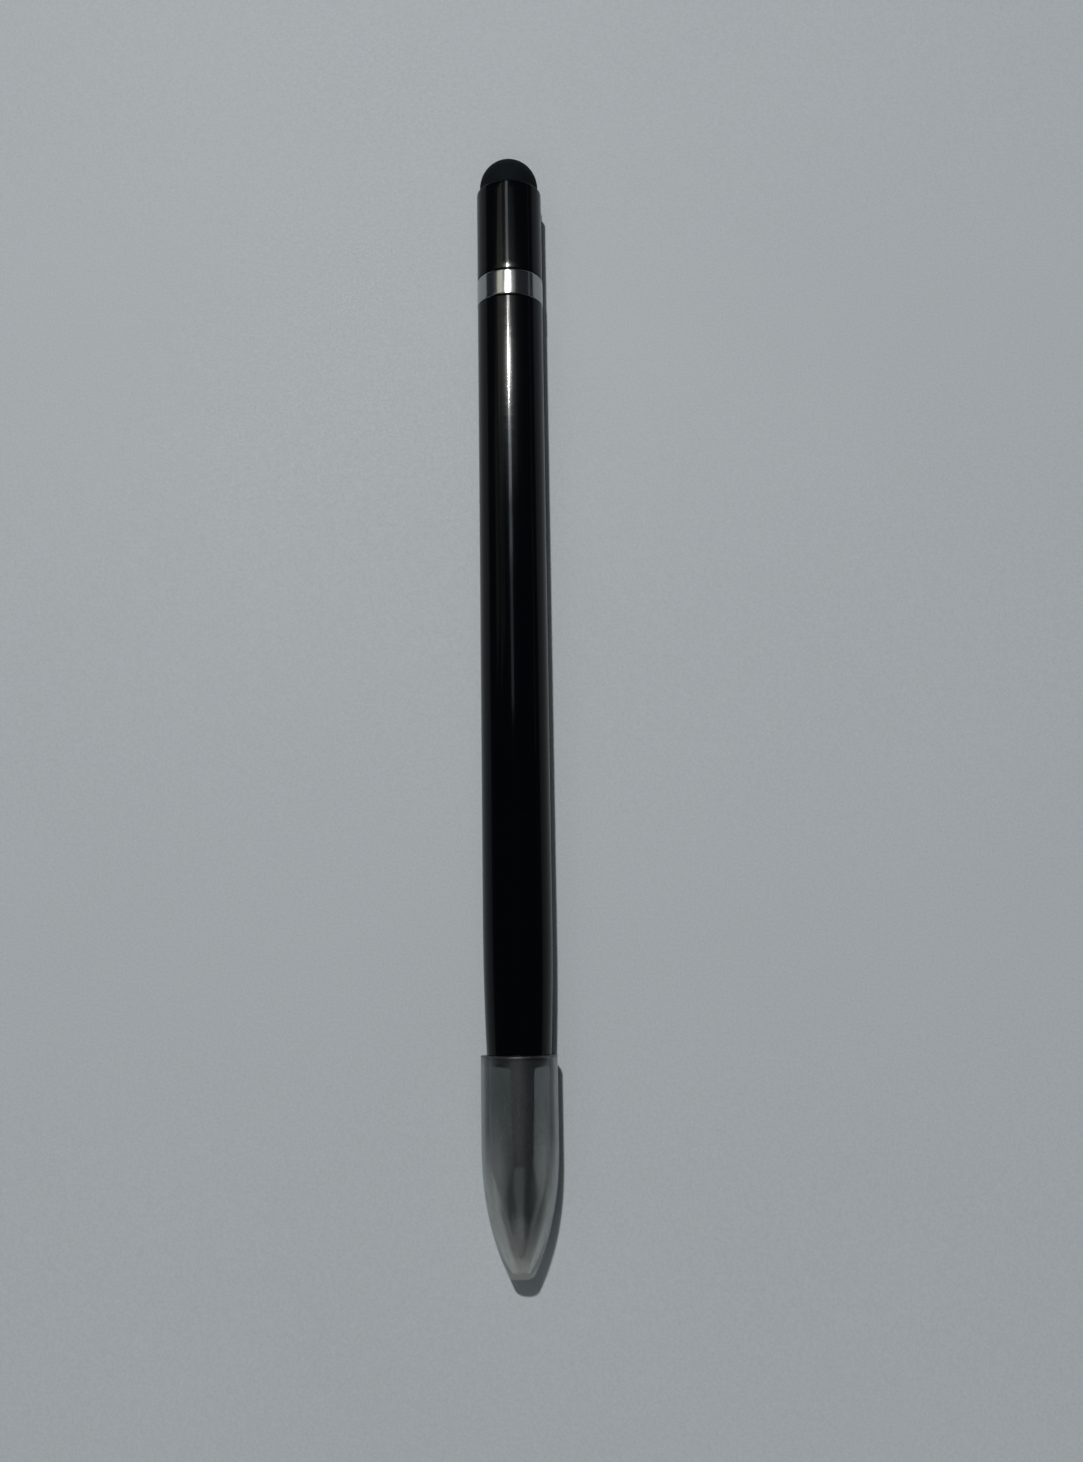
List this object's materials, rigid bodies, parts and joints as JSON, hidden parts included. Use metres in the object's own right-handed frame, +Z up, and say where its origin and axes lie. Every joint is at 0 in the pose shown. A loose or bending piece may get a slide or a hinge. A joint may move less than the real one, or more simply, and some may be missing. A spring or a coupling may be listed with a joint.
{
  "type": "inkless pencil",
  "caption": "Round black inkless pencil with a screw-in nib under a frosted pull-off cap, a bright trim ring and a push-in domed eraser at its end.",
  "frame": {"origin": "on the ground under the middle of the pencil's length, as it lies on its cap", "axes": "+Y along the pencil towards the eraser, +Z up"},
  "size_m": [0.0098, 0.151, 0.0097],
  "materials": {
    "gloss_black": "polished black moulded plastic",
    "satin_black": "satin black moulded plastic",
    "graphite": "dark grey graphite alloy",
    "frosted": "frosted translucent plastic",
    "bright_chrome": "mirror chrome",
    "rubber_black": "matte black rubber"
  },
  "bodies": {
    "barrel": {"barrel": "gloss_black", "trim_ring": "bright_chrome", "tail_plug": "satin_black", "end_sleeve": "gloss_black"},
    "nib": {"nib_holder": "satin_black", "writing_tip": "graphite"},
    "cap": {"tip_cap": "frosted"},
    "eraser": {"eraser": "rubber_black"}
  },
  "joints": [
    {"name": "nib_out", "type": "slide", "parent": "barrel", "child": "nib", "axis": [0, -1, 0], "range_m": [0, 0.012]},
    {"name": "cap_pull", "type": "slide", "parent": "nib", "child": "cap", "axis": [0, -1, 0], "range_m": [0, 0.03]},
    {"name": "eraser_pull", "type": "slide", "parent": "barrel", "child": "eraser", "axis": [0, 1, 0], "range_m": [0, 0.012]}
  ]
}
